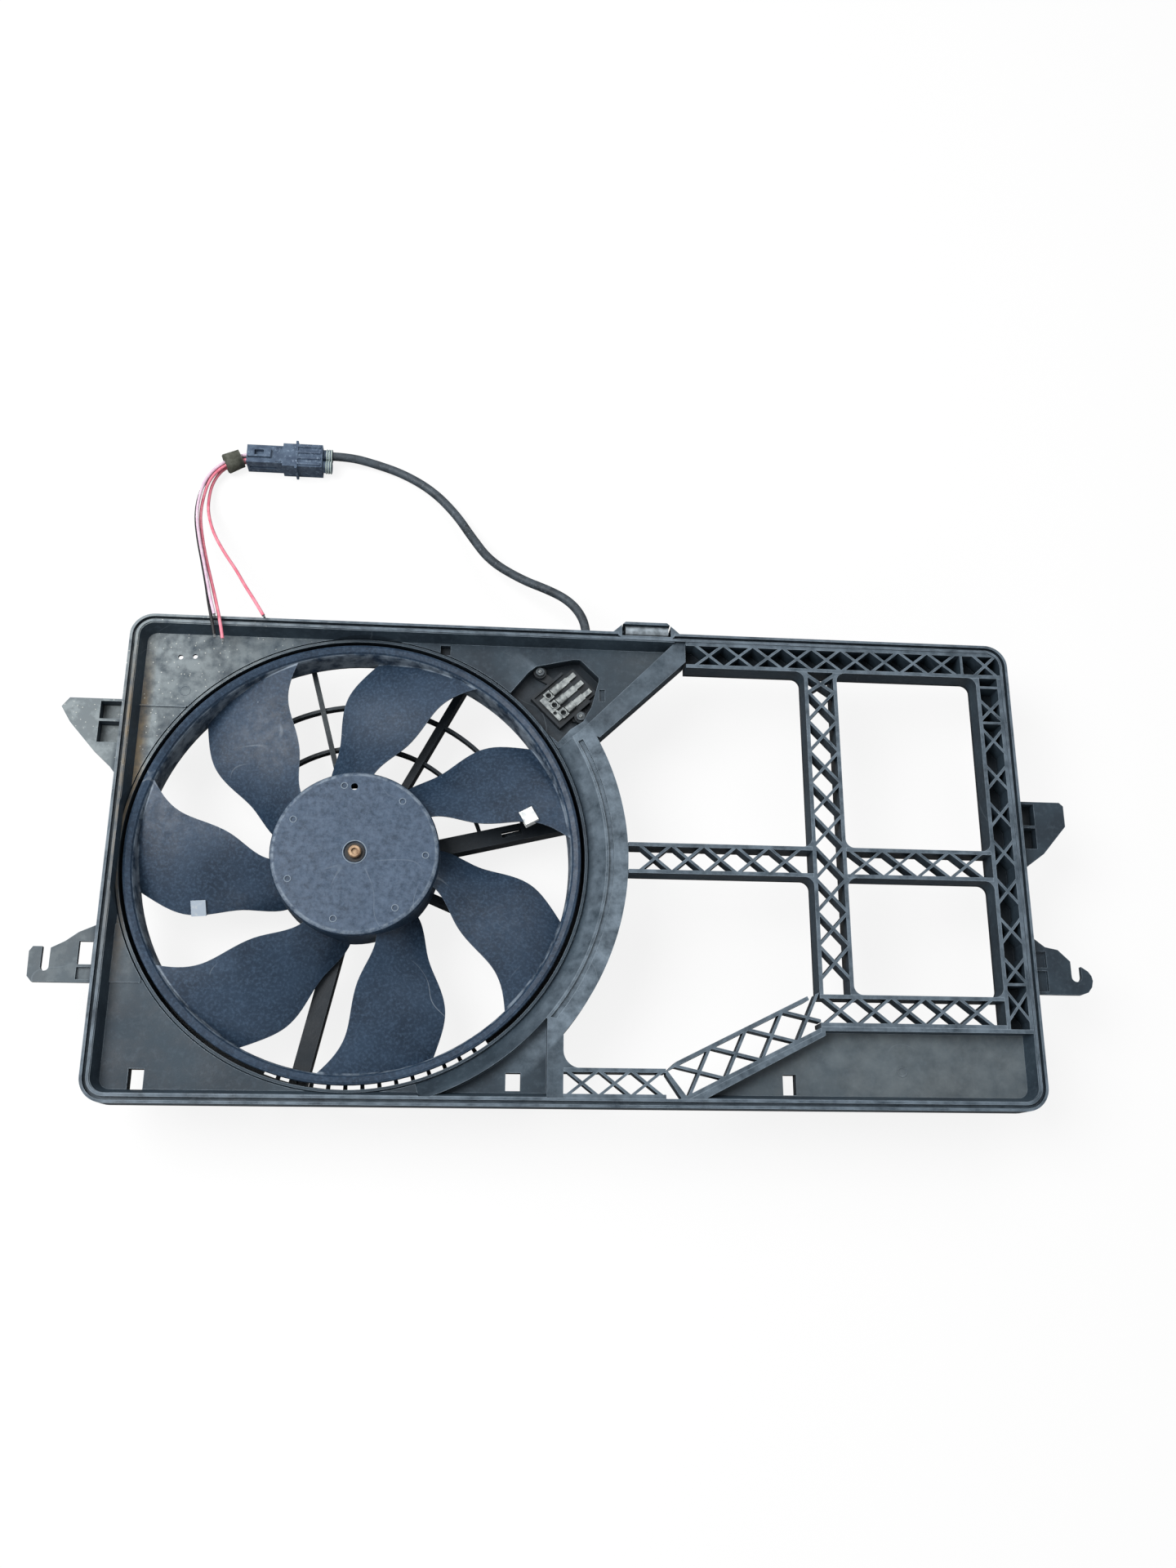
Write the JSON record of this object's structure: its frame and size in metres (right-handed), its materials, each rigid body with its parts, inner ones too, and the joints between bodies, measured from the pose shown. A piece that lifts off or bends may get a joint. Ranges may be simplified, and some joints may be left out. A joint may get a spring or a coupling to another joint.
{
  "type": "radiator cooling fan",
  "caption": "Electric cooling fan with banded sickle blades in a wide moulded cowl, with an open lattice half, side hooks, resistor, cable and connector.",
  "frame": {"origin": "centre of the bounding box in plan, on the plane of the motor's back, without the free cable", "axes": "+Z along the fan's axis towards the radiator, +X along the cowl from the fan to the lattice half, +Y to the cowl's top edge"},
  "size_m": [0.795, 0.571, 0.0931],
  "materials": {
    "cowl_plastic": "dull moulded black-grey, dusty",
    "fan_plastic": "satin moulded dark blue-grey",
    "clip_metal": "dull galvanised",
    "clip_white": "pale moulded",
    "tinned_strip": "dull tin",
    "resistor_plastic": "dull",
    "screw_bronze": "dull, browned",
    "insert_brass": "turned",
    "washer_black": "blackened",
    "can_steel": "black, satin",
    "screw_steel": "zinc-plated",
    "shaft_steel": "ground",
    "magnet_grey": "sintered",
    "core_steel": "laminated",
    "copper": "enamelled copper",
    "carbon": "sintered carbon",
    "bearing_bronze": "sintered bronze",
    "cable_black": "dull",
    "connector_grey": "satin blue-grey",
    "tape_dark": "dull cloth tape",
    "wire_black": "smooth",
    "wire_white": "smooth",
    "wire_pink": "smooth"
  },
  "bodies": {
    "cowl": {"cowl_rim": "cowl_plastic", "cowl_panel": "cowl_plastic", "cowl_collar": "cowl_plastic", "window_edge": "cowl_plastic", "top_beam": "cowl_plastic", "right_beam": "cowl_plastic", "centre_post": "cowl_plastic", "mid_beam_left": "cowl_plastic", "mid_beam_right": "cowl_plastic", "bottom_beam": "cowl_plastic", "diagonal_beam": "cowl_plastic", "lower_lattice": "cowl_plastic", "corner_tray": "cowl_plastic", "motor_support": "cowl_plastic", "bracket_upper_left": "cowl_plastic", "bracket_upper_right": "cowl_plastic", "hook_left": "cowl_plastic", "hook_right": "cowl_plastic", "clip_holder": "cowl_plastic", "lead_clip": "cowl_plastic", "top_clip": "clip_metal", "resistor_base": "resistor_plastic", "resistor_plug": "resistor_plastic", "brush_holders": "resistor_plastic", "resistor_terminals": "tinned_strip", "resistor_screws": "screw_steel", "motor_screws": "screw_steel", "motor_can": "can_steel", "motor_end_cap": "can_steel", "field_magnets": "magnet_grey", "brushes": "carbon", "front_bearing": "bearing_bronze", "rear_bearing": "bearing_bronze", "motor_lead": "cable_black", "supply_lead": "cable_black", "cable_sheath": "cable_black", "connector_socket": "connector_grey", "connector_plug": "connector_grey", "tape_band": "tape_dark", "wire_black": "wire_black", "wire_white": "wire_white", "wire_pink_long": "wire_pink", "wire_pink_short": "wire_pink"},
    "rotor": {"fan_wheel": "fan_plastic", "balance_clips": "clip_white", "hub_insert": "insert_brass", "fan_washer": "washer_black", "fan_screw": "screw_bronze", "motor_shaft": "shaft_steel", "armature_core": "core_steel", "armature_windings": "copper", "commutator": "copper"}
  },
  "joints": [
    {"name": "fan_spin", "type": "hinge", "parent": "cowl", "child": "rotor", "pos_m": [-0.169, -0.0045, 0.04], "axis": [0, 0, 1], "continuous": true}
  ]
}
